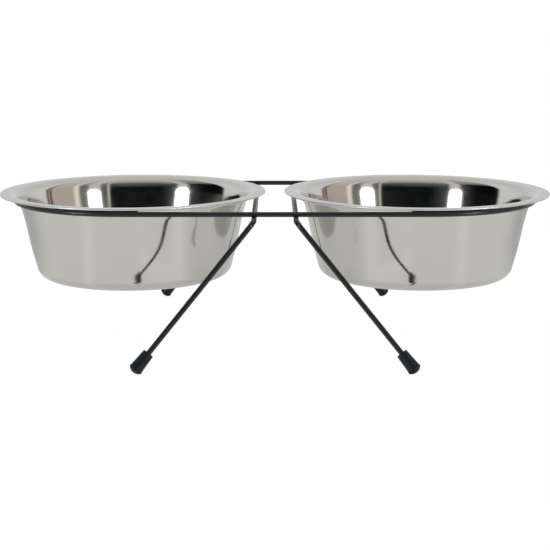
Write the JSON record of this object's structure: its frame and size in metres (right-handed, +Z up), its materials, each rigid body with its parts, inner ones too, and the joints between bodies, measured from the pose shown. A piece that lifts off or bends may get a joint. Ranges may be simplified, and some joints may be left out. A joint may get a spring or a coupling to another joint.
{
  "type": "double pet bowl",
  "caption": "Raised double pet bowl: polished steel bowls with wide flanges hang side by side in a looped black wire stand on splayed legs with rubber-capped feet.",
  "frame": {"origin": "on the floor under the middle of the stand, halfway between the two bowls", "axes": "+X from the left bowl to the right bowl, +Y to the back, +Z up from the floor"},
  "size_m": [0.4972, 0.3172, 0.131],
  "materials": {
    "black_wire": "satin",
    "black_rubber": "matte",
    "stainless_steel": "polished"
  },
  "bodies": {
    "stand": {"rail_loop": "black_wire", "left_leg_frame": "black_wire", "right_leg_frame": "black_wire", "front_left_foot_cap": "black_rubber", "front_right_foot_cap": "black_rubber", "rear_left_foot_cap": "black_rubber", "rear_right_foot_cap": "black_rubber"},
    "left_dish": {"left_bowl": "stainless_steel"},
    "right_dish": {"right_bowl": "stainless_steel"}
  },
  "joints": [
    {"name": "left_bowl_lift", "type": "slide", "parent": "stand", "child": "left_dish", "axis": [0, 0, 1], "range_m": [0, 0.1]},
    {"name": "right_bowl_lift", "type": "slide", "parent": "stand", "child": "right_dish", "axis": [0, 0, 1], "range_m": [0, 0.1]}
  ]
}
